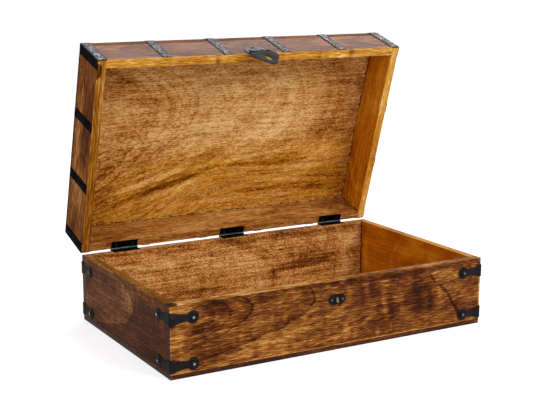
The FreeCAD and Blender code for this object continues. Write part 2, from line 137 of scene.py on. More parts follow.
def year_rings(tree, figure, off_heart, under, ring):
    """Rings about a heart that leans through the board, which cut it in nested arches.

    A year darkens slowly and ends in a fine dark line. Gives the distance from the heart and the line.
    """
    spoke = add(tree, "CombineXYZ", [off_heart, under])
    radius = add(tree, "VectorMath", [spoke], out="Value", operation="LENGTH")
    age = add(tree, "Math", [radius, ring], operation="DIVIDE")
    uneven = add(tree, "TexNoise", {"W": age, "Scale": 0.45, "Detail": 2.0}, noise_dimensions="1D")
    age = add(tree, "Math", [uneven, 3.0, age], operation="MULTIPLY_ADD")
    figure["band"] = add(tree, "TexNoise", {"W": age, "Scale": 0.9, "Detail": 2.0}, noise_dimensions="1D")
    year = add(tree, "Math", [age], operation="FRACT")
    late = add(tree, "MapRange", [year, 0.45, 0.95, 0.0, 1.0], interpolation_type="SMOOTHSTEP")
    early = add(tree, "MapRange", [year, 1.0, 0.97, 0.0, 1.0], interpolation_type="SMOOTHSTEP")
    shown = add(tree, "MapRange", [figure["faint"], 0.42, 0.62, 0.15, 1.0])
    line = add(tree, "Math", [late, early], operation="MULTIPLY")
    return radius, add(tree, "Math", [line, shown], operation="MULTIPLY")


def darkened(tree, tone, crumb, radius, years):
    """Single dark years: distance from the heart, softness of the inner side, and how dark."""
    jagged = add(tree, "Math", [radius, -0.7])
    jagged = add(tree, "Math", [crumb, 1.4, jagged], operation="MULTIPLY_ADD")
    for reach, soft, amount in years:
        outer = add(tree, "MapRange", [jagged, reach + 0.12, reach, 0.0, -amount])
        feeds = [jagged, reach - soft, reach, 0.0, 1.0]
        inner = add(tree, "MapRange", feeds, interpolation_type="SMOOTHSTEP")
        tone = add(tree, "Math", [inner, outer, tone], operation="MULTIPLY_ADD")
    return tone


def spot(tree, board, ragged, at, size, slant=0.0):
    """Distance from a spot, as a share of its own half lengths, made ragged round its edge."""
    feeds = {"Vector": board, "Location": at, "Rotation": (0, 0, math.radians(slant)), "Scale": size}
    reach = add(tree, "Mapping", feeds, vector_type="TEXTURE")
    reach = add(tree, "VectorMath", [reach], out="Value", operation="LENGTH")
    reach = add(tree, "Math", [reach, -0.8])
    return add(tree, "Math", [ragged, 1.6, reach], operation="MULTIPLY_ADD")


def marked(tree, tone, board, ragged, marks):
    """Patches: place along and across, half length and width, slant in degrees, how much paler."""
    for at_u, at_v, long, wide, slant, amount in marks:
        reach = spot(tree, board, ragged, (at_u, at_v, 0), (long, wide, THROUGH), slant)
        patch = add(tree, "MapRange", [reach, 1.3, 0.3, 0.0, amount], interpolation_type="SMOOTHSTEP")
        tone = add(tree, "Math", [tone, patch])
    return tone


def spilled(tree, tone, board, ragged, on_rim, spills):
    """Stain that ran over the rim: place along and into the board, half length and thickness."""
    spilt = 0.0
    for at_u, at_w, long, thick in spills:
        reach = spot(tree, board, ragged, (at_u, 0, at_w), (long, THROUGH, thick))
        patch = add(tree, "MapRange", [reach, 1.1, 0.9, 0.0, 1.0])
        patch = add(tree, "Math", [patch, on_rim], operation="MULTIPLY")
        spilt = add(tree, "Math", [patch, spilt], operation="MAXIMUM")
        tone = add(tree, "Math", [patch, -0.4, tone], operation="MULTIPLY_ADD")
    return tone, spilt


def still_stained(tree, edgy, insets, on_rim):
    """Stain lies on the outer faces, not on the rim, and thinly on the upright edges, rubbed through."""
    uneven = add(tree, "Math", [edgy, 2.2, -1.1], operation="MULTIPLY_ADD")
    nearest = add(tree, "Math", [insets["X"], insets["Y"]], operation="MINIMUM")
    nearest = add(tree, "Math", [nearest, insets["Z"]], operation="MINIMUM")
    nearest = add(tree, "Math", [nearest, uneven])
    stained = add(tree, "MapRange", [nearest, 1.8, 1.0, 0.0, 1.0])
    arris = add(tree, "Math", [insets["X"], insets["Y"]], operation="MAXIMUM")
    arris = add(tree, "Math", [arris, uneven])
    kept = add(tree, "MapRange", [arris, 0.9, 1.9, 0.25, 1.0])
    stained = add(tree, "Math", [stained, kept], operation="MULTIPLY")
    off_rim = add(tree, "Math", [1.0, on_rim], operation="SUBTRACT")
    return add(tree, "Math", [stained, off_rim], operation="MULTIPLY")


def shaded_seams(tree, edgy, along, across, off_face):
    """Painted shade in the corners inside, where the board meets the others, with glue and dust in it."""
    seam_shade = add(tree, "Math", [along, across], operation="MINIMUM")
    seam_shade = add(tree, "Math", [seam_shade, -2.5])
    seam_shade = add(tree, "Math", [edgy, 5.0, seam_shade], operation="MULTIPLY_ADD")
    seam_shade = add(tree, "MapRange", [seam_shade, 1.9, 0.7, 0.0, 0.9])
    on_face = add(tree, "MapRange", [off_face, 0.3, 0.1, 0.0, 1.0])
    return add(tree, "Math", [seam_shade, on_face], operation="MULTIPLY")


def mango(node, along, across, heart, taper, ring, seed, inside=GOLD, outside=WALNUT, rim=HONEY,
          pale=0.0, wax=0.13, thirst=0.5, lines=0.3, curl=0.2, sway=46.0, fibres=2.0,
          grain=(8.0, 1.1), streaks=0.9, patches=0.9, years=(), marks=(), spills=(), fan=None,
          honey=None, seam_palest="#4a2810", levels=BOX_LEVELS, turn=(0, 0, 0), shift=(0, 0, 0)):
    """Give a board its own waxed mango: warm arched figure under a soft sheen. Lengths are in mm.

    The grain runs along one axis and the width lies across it. heart is how far the middle of the
    tree lies across and under the board, taper its slope along it, and ring the width of a year.
    pale lightens the board, wax is its gloss, thirst how much darker its ends drink the stain.
    lines, curl, fibres, streaks and patches are how strongly each shows. sway is how far the grain
    wanders, grain how long and thick its fibres are. years, marks, spills and fan are described
    above; honey yellows the bare wood from one width to another, and seam_palest is the palest colour
    of the painted shade, glue and dust in the inner corners. levels are the heights of the outer
    face, inner corner and rim; turn and shift take the board back to the pose in which its grain is
    drawn.
    """
    material, tree = new_material("waxed mango " + node.replace("_", " "))
    place = add(tree, "TexCoord", out="Object")
    feeds = {"Vector": place, "Location": shift, "Rotation": turn, "Scale": (MM, MM, MM)}
    mm = add(tree, "Mapping", feeds)
    axes = dict(zip("XYZ", add(tree, "SeparateXYZ", [mm], out=None)))
    deep = (set("XYZ") - {along, across}).pop()
    u, v, w = axes[along], axes[across], axes[deep]
    board = add(tree, "CombineXYZ", [u, v, w])

    # Slow bends of the trunk, quick ones round its branches, and the patches a finish brings out.
    figure = {}
    figured(tree, figure, seed, [
        ("slow", board, (150, 60, 60), 1.0), ("quick", board, (34, 15, 15), 2.0),
        ("faint", board, (60, 30, 30), 1.0), ("blotch", board, (90, 32, 32), 1.5),
        ("ragged", board, (24, 9, 9), 3.0), ("edgy", board, (11, 11, 11), 2.0),
        ("crumb", board, (3.4, 3.4, 3.4), 1.0)])
    quick_mm = 9.0           # sway of the quick bends
    follow = 0.35            # share of the slow bends that the fibres follow
    slow = add(tree, "Math", [figure["slow"], sway, -sway / 2], operation="MULTIPLY_ADD")
    quick = add(tree, "Math", [figure["quick"], quick_mm, -quick_mm / 2], operation="MULTIPLY_ADD")
    straight = fanned(tree, u, v, *fan) if fan else v
    bent = add(tree, "Math", [add(tree, "Math", [slow, straight]), quick])
    off_heart = add(tree, "Math", [bent, heart[0]], operation="SUBTRACT")
    under = add(tree, "Math", [u, taper, heart[1]], operation="MULTIPLY_ADD")
    under = add(tree, "Math", [under, w])
    radius, line = year_rings(tree, figure, off_heart, under, ring)

    # Fibres and pores are a few tenths of a millimetre thick and are drawn about 1 mm thick, so
    # that they show. Curl is drawn at its real 10 mm.
    lie = add(tree, "Math", [slow, follow, straight], operation="MULTIPLY_ADD")
    flow = add(tree, "CombineXYZ", [u, lie, w])
    waved = add(tree, "Math", [slow, 0.8, u], operation="MULTIPLY_ADD")
    waved = add(tree, "CombineXYZ", [waved, v, w])
    long, thick = grain
    figured(tree, figure, seed, [
        ("fibre", flow, (long, thick, thick), 1.0), ("streak", flow, (70, 3.2, 3.2), 2.0),
        ("pores", flow, (0.8 * long, thick, thick), 1.0), ("curl", waved, (10, 40, 40), 2.0)], rough=0.62)
    amounts = {"band": 0.35, "fibre": fibres, "streak": streaks, "curl": 2.0 * curl, "blotch": patches}
    middle = 0.56 + pale - sum(amounts.values()) / 2
    tone = add(tree, "Math", [line, -lines, middle], operation="MULTIPLY_ADD")
    for name, amount in amounts.items():
        tone = add(tree, "Math", [figure[name], amount, tone], operation="MULTIPLY_ADD")
    open_pore = add(tree, "MapRange", [figure["pores"], 0.58, 0.70, 0.0, -0.15 * fibres])
    tone = add(tree, "Math", [tone, open_pore])
    tone = darkened(tree, tone, figure["crumb"], radius, years)
    tone = marked(tree, tone, board, figure["ragged"], marks)
    outer_z, inner_z, rim_z = levels
    on_rim = add(tree, "Math", [axes["Z"], rim_z], operation="SUBTRACT")
    on_rim = add(tree, "Math", [on_rim], operation="ABSOLUTE")
    on_rim = add(tree, "MapRange", [on_rim, 0.9, 0.5, 0.0, 1.0])
    tone, spilt = spilled(tree, tone, board, figure["ragged"], on_rim, spills)

    # How far inside the outer faces this point lies, and how far from the inner corners.
    centred = add(tree, "VectorMath", [mm, (0, 0, -outer_z)])
    centred = add(tree, "VectorMath", [centred], operation="ABSOLUTE")
    inset = add(tree, "VectorMath", [centred, (-1, -1, 1), (half_w, half_d, 0)], operation="MULTIPLY_ADD")
    insets = dict(zip("XYZ", add(tree, "SeparateXYZ", [inset], out=None)))
    inner = (board_t, board_t, abs(inner_z - outer_z))
    corner = add(tree, "VectorMath", [inset, inner], operation="SUBTRACT")
    corner = add(tree, "VectorMath", [corner], operation="ABSOLUTE")
    corners = dict(zip("XYZ", add(tree, "SeparateXYZ", [corner], out=None)))
    end_grain = add(tree, "MapRange", [insets[along], 1.0, 0.3, 0.0, -thirst])
    tone = add(tree, "Math", [tone, end_grain])
    stained = still_stained(tree, figure["edgy"], insets, on_rim)
    stained = add(tree, "Math", [stained, spilt], operation="MAXIMUM")
    seam_shade = shaded_seams(tree, figure["edgy"], corners[along], corners[across], corners[deep])

    # Each layer of the finish lies over the bare wood with its own colours for the same tones.
    layers = [(on_rim, rim), (stained, outside)]
    if honey:
        low, high, amount = honey
        feeds = [straight, low, high, 0.0, amount]
        yellow = add(tree, "MapRange", feeds, interpolation_type="SMOOTHSTEP")
        patchy = add(tree, "MapRange", [figure["streak"], 0.40, 0.56, 0.25, 1.0])
        yellow = add(tree, "Math", [yellow, patchy], operation="MULTIPLY")
        layers.insert(0, (yellow, HONEY))
    wood = add(tree, "ValToRGB", [tone], stops=inside)
    for mask, colours in layers:
        over = add(tree, "ValToRGB", [tone], stops=colours)
        wood = add(tree, "Mix", {MASK: mask, UNDER: wood, OVER: over}, out=MIXED, data_type="RGBA")
    # Painted shade in the inner corners, darkest in the crevice; its palest colour is glue and dust where
    # the joints have them.
    shade_and_glue = [(0.40, "#1e0c05"), (0.50, "#4a240c"), (0.58, seam_palest)]
    seam_colour = add(tree, "ValToRGB", [figure["crumb"]], stops=shade_and_glue)
    wood = add(tree, "Mix", {MASK: seam_shade, UNDER: wood, OVER: seam_colour}, out=MIXED, data_type="RGBA")

    # Fibres stand in relief, and the lines of the years lie a little lower.
    height = add(tree, "Math", [line, -0.5, figure["fibre"]], operation="MULTIPLY_ADD")
    bump = add(tree, "Bump", {"Strength": 0.5, "Distance": 0.00035, "Height": height})
    rough = add(tree, "Math", [figure["fibre"], 0.35, 0.36], operation="MULTIPLY_ADD")
    feeds = {"Base Color": wood, "Roughness": rough, "Normal": bump, "Specular IOR Level": wax}
    add(tree, "OutputMaterial", [add(tree, "BsdfPrincipled", feeds)])
    dress(node, material)


front_marks = [
    # Dark eddy by the left brackets, with paler wood round it.
    (-184, 56, 22, 7, 2, -0.36),
    (-215, 45, 12, 34, 0, 0.24),
    (-205, 84, 25, 6, 0, 0.16),
    (-100, 26, 95, 9, 14, 0.20),
    (-60, 12, 160, 6, 2, 0.12),
    (-115, 82, 60, 6, 0, -0.16),
    (-165, 74, 26, 10, 0, -0.12),
    (-131, 80, 24, 9, 0, 0.20),
    (-205, 24, 18, 16, 0, 0.16),
    (-50, 56, 22, 12, 0, 0.12),
    # Dark crotch right of the staple, with pale flames at its foot.
    (66, 20, 36, 18, 0, -0.20),
    (60, 84, 100, 7, 0, -0.20),
    (16, 24, 7, 10, 0, 0.30),
    (42, 26, 6, 5, 0, 0.20),
    (62, 15, 4, 8, 0, 0.22),
    (83, 18, 3, 8, 0, 0.20),
    (53, 72, 6, 15, 8, -0.24),
    (40, 50, 9, 26, 0, -0.12),
    (64, 52, 6, 24, 6, -0.20),
    (81, 50, 7, 26, 12, -0.28),
    (86, 38, 12, 10, 0, -0.30),
    (99, 48, 4, 28, 8, 0.10),
    (118, 58, 20, 30, -16, -0.20),
    (128, 42, 14, 26, 14, -0.14),
    (143, 44, 6, 22, 14, -0.20),
    # Scar that runs down to the right.
    (147, 71, 10, 2.2, -50, -0.36),
    (163, 57, 13, 2.2, -42, -0.36),
    (177, 39, 14, 2.2, -58, -0.38),
    (187, 25, 8, 3, -60, -0.38),
    # Paler wood round the scar, a dark patch past it, and the rubbed end and foot.
    (172, 74, 28, 12, 0, 0.12),
    (160, 40, 12, 14, -50, 0.12),
    (170, 14, 30, 8, 0, 0.10),
    (208, 54, 16, 12, 0, -0.24),
    (223, 50, 1.6, 30, 0, 0.25),
    (0, 6.2, 230, 0.9, 0, 0.40),
]
mango("base_front", "X", "Z", heart=(69.5, 222.2), taper=0.13, ring=3.5, seed=1.0, rim=SANDED,
      wax=0.06, lines=0.10, curl=0.18, sway=14, fibres=1.4, grain=(11.0, 0.9), streaks=0.8,
      patches=0.7, marks=front_marks, spills=[(-223, -130, 9, 9)],
      years=[(68.3, 0.5, 0.36), (72.0, 0.5, 0.48), (72.0, 5.0, 0.08), (83.2, 0.5, 0.46), (83.2, 7.0, 0.12)])

back_marks = [
    # Dark under the rim, then streaks along the grain and pale patches by the right end.
    (0, 85, 220, 6, 0, -0.20),
    (-110, 66, 90, 5, 0, 0.12),
    (-60, 20, 50, 2.5, 0, -0.26),
    (-125, 32, 40, 14, 0, 0.10),
    (110, 38, 65, 8, 4, -0.36),
    (130, 60, 60, 10, 3, -0.08),
    (60, 26, 8, 12, 30, -0.16),
    (135, 22, 42, 6, 2, -0.12),
    (188, 42, 13, 34, 0, 0.20),
    (167, 25, 3, 18, 0, -0.18),
    (204, 38, 9, 40, 0, 0.16),
    # Three dark nicks.
    (45, 54, 4, 3, 40, -0.35),
    (75, 62, 5, 1.6, 0, -0.38),
    (92, 54, 16, 1.2, -3, -0.28),
    # Broad shades.
    (-20, 50, 50, 18, 0, 0.12),
    (130, 40, 90, 40, 0, -0.07),
    (-170, 78, 30, 14, 0, -0.08),
]
mango("base_back", "X", "Z", heart=(30, 74), taper=0.09, ring=3.6, seed=12.0, rim=GOLD, pale=-0.05,
      lines=0.10, curl=0.22, sway=12, fibres=1.7, grain=(2.6, 0.9), streaks=1.1, patches=0.6,
      marks=back_marks)

left_marks = [
    (-88, 45, 58, 70, 0, -0.12),
    (-20, 62, 14, 18, 0, 0.14),
    (30, 12, 110, 12, 0, -0.12),
    (70, 60, 40, 20, 15, 0.08),
    (-90, 18, 22, 10, 0, -0.10),
]
mango("base_left", "Y", "Z", heart=(58, 307), taper=-0.10, ring=4.2, seed=23.0,
      outside=DARK_WALNUT, rim=TANNED, wax=0.03, fibres=1.0, lines=0.1, curl=0.25, sway=24,
      marks=left_marks, years=[(85.0, 0.8, -0.20), (85.0, 9.0, -0.12), (81.5, 0.6, -0.12)])

right_marks = [(112, 38, 7, 28, 0, 0.22), (116, 78, 8, 8, 0, -0.1), (0, 74, 110, 14, 0, 0.06)]
mango("base_right", "Y", "Z", heart=(40, 84), taper=0.10, ring=4.0, seed=34.0, inside=AMBER,
      outside=DARK_WALNUT, pale=-0.05, wax=0.08, fibres=0.4, lines=0.05, curl=0.15, streaks=0.5,
      patches=1.1, marks=right_marks)
mango("base_bottom", "X", "Y", heart=(30, 120), taper=0.14, ring=4.4, seed=45.0,
      outside=DARK_WALNUT, fibres=1.2, lines=0.1, curl=0.1, marks=[(0, -135, 260, 12, 0, -0.25)])

# ---- Corner brackets -------------------------------------------------
# Flared straps of 1 mm iron with round ends, folded round each upright corner and nailed. They are
# filed along their edges and blacked with wax over heat: a smooth near-black that is barely warm.


def blacked(name, dark, light, rough, grain_mm, depth_mm, gloss, other=None, where=None):
    """Blacked iron: a colour that drifts over a fine grain, and perhaps another one in places.

    grain_mm and depth_mm are the size and height of the grain. where gives the mask of the other
    colour, from the tree, the place on the piece and the drift.
    """
    material, tree = new_material(name)
    place = add(tree, "TexCoord", out="Object")
    grain = add(tree, "TexNoise", {"Vector": place, "Scale": MM / grain_mm, "Detail": 3.0})
    drift = add(tree, "TexNoise", {"Vector": place, "Scale": 60.0, "Detail": 2.0})        # over 17 mm
    mixed = add(tree, "Math", [drift, 0.6], operation="MULTIPLY")
    mixed = add(tree, "Math", [grain, 0.4, mixed], operation="MULTIPLY_ADD")
    colour = add(tree, "ValToRGB", [mixed], stops=[(0.35, dark), (0.65, light)])
    roughness = add(tree, "Math", [grain, 0.3, rough - 0.15], operation="MULTIPLY_ADD")
    if where:
        feeds = {MASK: where(tree, place, drift), UNDER: colour, OVER: linear(other)}
        colour = add(tree, "Mix", feeds, out=MIXED, data_type="RGBA")
    bump = add(tree, "Bump", {"Strength": 0.6, "Distance": depth_mm / MM, "Height": grain})
    feeds = {"Base Color": colour, "Normal": bump, "Roughness": roughness, "Specular IOR Level": gloss}
    add(tree, "OutputMaterial", [add(tree, "BsdfPrincipled", feeds)])
    return material


MERGE = 2e-6                 # metres between points that are one
SHARP = math.radians(40)     # an edge that a file would break


def softened(node, body, finish, edge):
    """A copy of a solid with its points merged and its sharp edges broken."""
    mesh = frame["nodes"][node].data.copy()
    shape = bmesh.new()
    shape.from_mesh(mesh)
    bmesh.ops.remove_doubles(shape, verts=shape.verts, dist=MERGE)
    for face in shape.faces:
        face.smooth = True
    shape.to_mesh(mesh)
    shape.free()
    mesh.materials.clear()
    mesh.materials.append(finish)
    piece = bpy.data.objects.new("filed_" + node, mesh)
    bpy.context.scene.collection.objects.link(piece)
    bevel = piece.modifiers.new("broken edges", "BEVEL")
    bevel.width = edge
    bevel.segments = 2
    bevel.limit_method = "ANGLE"
    bevel.angle_limit = SHARP
    bevel.harden_normals = True
    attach(piece, body)
    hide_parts(node)


bracket_iron = blacked("waxed black iron", "#1f1c1e", "#2d292c", rough=0.55, grain_mm=3.0,
                       depth_mm=0.05, gloss=0.02)
brackets = [(side, end, "bracket_%s_%s_%s" % (end, side, row))
            for end in ("front", "back") for side in ("left", "right") for row in ("low", "high")]
for side, end, name in brackets:
    softened(name, "base", bracket_iron, edge=0.00022)

# ---- Nails of the brackets -------------------------------------------
# Forged nails with domed heads, polished black and driven by hand, so that no two stand quite
# alike. One tree makes every nail of the chest from points and the way each one faces.


def made_by(tree, name, points, values, edges=(), outward=None):
    """Run a geometry tree on some points and keep the result as a plain mesh."""
    mesh = bpy.data.meshes.new(name)
    mesh.from_pydata(points, edges, [])
    if outward:
        facing = mesh.attributes.new("outward", "FLOAT_VECTOR", "POINT")
        facing.data.foreach_set("vector", [part for way in outward for part in way])
    piece = bpy.data.objects.new(name, mesh)
    bpy.context.scene.collection.objects.link(piece)
    modifier = piece.modifiers.new("made", "NODES")
    modifier.node_group = tree
    for item in tree.interface.items_tree:
        if item.in_out == "INPUT" and item.name in values:
            modifier[item.identifier] = values[item.name]
    piece.update_tag()
    made = piece.evaluated_get(bpy.context.evaluated_depsgraph_get())
    piece.data = bpy.data.meshes.new_from_object(made)
    piece.modifiers.clear()
    piece.data.name = name
    return piece


def geometry_tree(name, wanted):
    """A geometry tree with named inputs, and those inputs."""
    tree = bpy.data.node_groups.new(name, "GeometryNodeTree")
    for label, kind in [("Geometry", "Geometry")] + wanted:
        tree.interface.new_socket(label, in_out="INPUT", socket_type="NodeSocket" + kind)
    tree.interface.new_socket("Geometry", in_out="OUTPUT", socket_type="NodeSocketGeometry")
    return tree, add(tree, "NodeGroupInput", out=None)


nail_tree, given = geometry_tree("domed nails", [
    ("Head radius", "Float"), ("Head height", "Float"), ("Uneven", "Float"),
    ("Seed", "Int"), ("Finish", "Material")])
tree = nail_tree
feeds = {"Vertices": 24, "Side Segments": 8, "Radius Top": 0.0,
         "Radius Bottom": given["Head radius"], "Depth": given["Head height"]}
head = add(tree, "MeshCone", feeds)
x, y, _ = add(tree, "SeparateXYZ", [add(tree, "InputPosition")], out=None)
flat = add(tree, "CombineXYZ", [x, y])
reach = add(tree, "VectorMath", [flat], out="Value", operation="LENGTH")
reach = add(tree, "Math", [reach, given["Head radius"]], operation="DIVIDE")
climb = add(tree, "Math", [reach, -math.pi / 2, math.pi / 2], operation="MULTIPLY_ADD")
spread = add(tree, "Math", [climb], operation="COSINE")
spread = add(tree, "Math", [spread, reach], operation="DIVIDE")
rise = add(tree, "Math", [climb], operation="SINE")
rise = add(tree, "Math", [rise, given["Head height"]], operation="MULTIPLY")
flat = add(tree, "VectorMath", {0: flat, "Scale": spread}, operation="SCALE")
domed = add(tree, "VectorMath", [flat, add(tree, "CombineXYZ", [0.0, 0.0, rise])])
head = add(tree, "SetPosition", {"Geometry": head, "Position": domed})
head = add(tree, "SetShadeSmooth", {"Geometry": head, "Shade Smooth": True})
# The crown is marked for a painted highlight, which also stands for its worn black.
crown = add(tree, "MapRange", [reach, 0.42, 0.16, 0.0, 1.0], interpolation_type="SMOOTHSTEP")
feeds = {"Geometry": head, "Name": "rubbed", "Value": crown}
head = add(tree, "StoreNamedAttribute", feeds, data_type="FLOAT", domain="POINT")
facing = add(tree, "InputNamedAttribute", {"Name": "outward"}, data_type="FLOAT_VECTOR")
facing = add(tree, "AlignRotationToVector", {"Vector": facing}, axis="Z")
size = add(tree, "RandomValue", {2: 0.94, 3: 1.03, "Seed": given["Seed"]}, out=1, data_type="FLOAT")
feeds = {"Points": given["Geometry"], "Instance": head, "Rotation": facing, "Scale": size}
heads = add(tree, "RealizeInstances", [add(tree, "InstanceOnPoints", feeds)])
feeds = {"Vector": add(tree, "InputPosition"), "Scale": 420.0, "Detail": 1.0}     # a dimple in 2.4 mm
dimple = add(tree, "Math", [add(tree, "TexNoise", feeds), 0.5], operation="SUBTRACT")
dimple = add(tree, "Math", [dimple, given["Uneven"]], operation="MULTIPLY")
dimple = add(tree, "VectorMath", {0: add(tree, "InputNormal"), "Scale": dimple}, operation="SCALE")
heads = add(tree, "SetPosition", {"Geometry": heads, "Offset": dimple})
heads = add(tree, "SetMaterial", {"Geometry": heads, "Material": given["Finish"]})
add(tree, "NodeGroupOutput", [heads])


def wear_and_glint_spots(tree, place, drift):
    """The spots of painted glint and wear that a geometry tree has noted, broken up as rubbing leaves them.
    """
    noted = add(tree, "Attribute", out="Fac", attribute_name="rubbed")
    broken = add(tree, "MapRange", [drift, 0.40, 0.55, 0.35, 1.0])
    return add(tree, "Math", [noted, broken], operation="MULTIPLY")


# Polished black nail: glossy black with a painted highlight on the crown, where its black is also worn.
nail_iron = blacked("polished black nail", "#030303", "#0a090a", rough=0.24, grain_mm=6.0,
                    depth_mm=0.02, gloss=0.15, other="#d6d2d6", where=wear_and_glint_spots)
LOBE_R = 0.0077              # round end of a bracket, with its nail in the middle
bracket_heads = []
for side, end, name in brackets:
    low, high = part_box(name)
    out_x = 1 if side == "right" else -1
    out_y = 1 if end == "back" else -1
    far_x, near_x = (high.x, low.x + LOBE_R) if out_x > 0 else (low.x, high.x - LOBE_R)
    far_y, near_y = (high.y, low.y + LOBE_R) if out_y > 0 else (low.y, high.y - LOBE_R)
    level = (low.z + high.z) / 2
    bracket_heads += [((near_x, far_y, level), (0, out_y, 0)), ((far_x, near_y, level), (out_x, 0, 0))]
nail_size = {"Head radius": 0.00385, "Head height": 0.0025, "Uneven": 0.00025, "Seed": 3,
             "Finish": nail_iron}
nails = made_by(nail_tree, "domed_bracket_nails", [at for at, way in bracket_heads], nail_size,
                outward=[way for at, way in bracket_heads])
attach(nails, "base")
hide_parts("bracket_nails")

# ---- Staple ----------------------------------------------------------
# An eye filed from thick iron and riveted to an oval plate, nailed to the front of the box. It is
# the same grey iron as the hasp, waxed but never polished.
low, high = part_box("staple")
NAIL_IN = 0.0043             # end of the plate to its nail
PLATE_T = 0.0012             # the same for the hasp's plate
face_y = front_low.y - PLATE_T
eye_reach = face_y - low.y
eye_z = (low.z + high.z) / 2


def eye_highlight(tree, place, drift):
    """A painted highlight on the eye, between its hole and the plate, at its middle height."""
    _, y, z = add(tree, "SeparateXYZ", [place], out=None)
    out = add(tree, "Math", [face_y, y], operation="SUBTRACT")
    off_plate = add(tree, "MapRange", [out, 0.0002, 0.0006, 0.0, 1.0])
    short = add(tree, "MapRange", [out, 0.40 * eye_reach, 0.55 * eye_reach, 1.0, 0.0])
    near_plate = add(tree, "Math", [off_plate, short], operation="MULTIPLY")
    off_middle = add(tree, "Math", [z, eye_z], operation="SUBTRACT")
    off_middle = add(tree, "Math", [off_middle], operation="ABSOLUTE")
    level = add(tree, "MapRange", [off_middle, 0.0045, 0.0020, 0.0, 1.0])
    return add(tree, "Math", [near_plate, level], operation="MULTIPLY")


# Grey iron: dark and dull, with a painted highlight on the eye that stands for its lit side.
staple_iron = blacked("rubbed grey iron", "#161514", "#2a2a28", rough=0.5, grain_mm=2.0,
                      depth_mm=0.06, gloss=0.02, other="#a08c84", where=eye_highlight)
softened("staple", "base", staple_iron, edge=0.0003)
staple_heads = [(low.x + NAIL_IN, face_y, eye_z), (high.x - NAIL_IN, face_y, eye_z)]
small_size = {"Head radius": 0.0021, "Head height": 0.00095, "Uneven": 0.00015, "Seed": 5,
              "Finish": nail_iron}
nails = made_by(nail_tree, "domed_staple_nails", staple_heads, small_size, outward=[(0, -1, 0)] * 2)
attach(nails, "base")
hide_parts("staple_nails")

# ---- Hinges ----------------------------------------------------------
# Pressed steel butt hinges in black japan, let into the rims, with slotted countersunk screws. The
# japan is glossy and deep; a painted highlight runs along the crest of each knuckle, and the screws
# are mottled grey as painted glints.
pins = {joint["name"]: Vector(joint["pos_m"]) for joint in frame["joints"]}
hinge_pin = pins["lid_hinge"]
KNUCKLE_R = 0.0030           # anything further than this from the pin is leaf


def from_pin(tree, place, pin):
    """Way from a pin that lies along X to each point."""
    out = add(tree, "VectorMath", [place, tuple(pin)], operation="SUBTRACT")
    return add(tree, "VectorMath", [out, (0, 1, 1)], operation="MULTIPLY")


def crest_glint(tree, place, drift):
    """A painted highlight along the crest of each knuckle, on the side towards the box, broken in places.
    """
    out = from_pin(tree, place, hinge_pin)
    reach = add(tree, "VectorMath", [out], out="Value", operation="LENGTH")
    knuckle = add(tree, "MapRange", [reach, KNUCKLE_R, KNUCKLE_R - 0.0002, 0.0, 1.0])
    out = add(tree, "VectorMath", [out], operation="NORMALIZE")
    facing = add(tree, "VectorMath", [out, (0, -0.5, 0.87)], out="Value", operation="DOT_PRODUCT")
    glint_line = add(tree, "MapRange", [facing, 0.94, 0.99, 0.0, 1.0])
    glint_line = add(tree, "Math", [glint_line, knuckle], operation="MULTIPLY")
    broken = add(tree, "MapRange", [drift, 0.40, 0.55, 0.5, 1.0])
    return add(tree, "Math", [glint_line, broken], operation="MULTIPLY")


# Black japan, with a painted highlight along the crest of each knuckle.
hinge_iron = blacked("black japanned steel", "#030303", "#080707", rough=0.3, grain_mm=3.0,
                     depth_mm=0.03, gloss=0.05, other="#7a8080", where=crest_glint)
for side in ("left", "middle", "right"):
    softened("hinge_%s_base_leaf" % side, "base", hinge_iron, edge=0.0002)
    softened("hinge_%s_lid_leaf" % side, "lid", hinge_iron, edge=0.0002)
    dress("hinge_%s_pin" % side, hinge_iron)
# Japanned screw: black, mottled with a dull grey that is painted glint.
screw_finish = blacked("japanned screw, painted glints", "#060505", "#2e2b28", rough=0.3, grain_mm=1.0,
                      depth_mm=0.05, gloss=0.2)
dress("hinge_screws_base", screw_finish)
dress("hinge_screws_lid", screw_finish)

# ---- Boards of the lid -----------------------------------------------
# A tray of the same mango with a planted panel. It is stained outside as the box is, paler and
# pinker on the front, where stain faded by hands and light lies under a painted sheen, and its grain
# is drawn as it lies with the lid shut.
LID_OPEN = math.radians(73.0)
swing = Matrix.Translation(hinge_pin) @ Matrix.Rotation(-LID_OPEN, 4, "X") @ Matrix.Translation(-hinge_pin)
shut_again = swing.inverted()


def shut_box(node):
    """Lowest and highest corner of a lid node when the lid is shut."""
    points = [shut_again @ vertex.co for vertex in frame["nodes"][node].data.vertices]
    low = Vector([min(point[axis] for point in points) for axis in range(3)])
    high = Vector([max(point[axis] for point in points) for axis in range(3)])
    return low, high


lid_low, lid_high = shut_box("lid_top")
unswung = shut_again.to_3x3()
lid_rim_z = shut_box("lid_front")[0].z
lying_shut = {"levels": (MM * lid_high.z, MM * lid_low.z, MM * lid_rim_z),
              "turn": unswung.to_euler(), "shift": MM * (hinge_pin - unswung @ hinge_pin)}

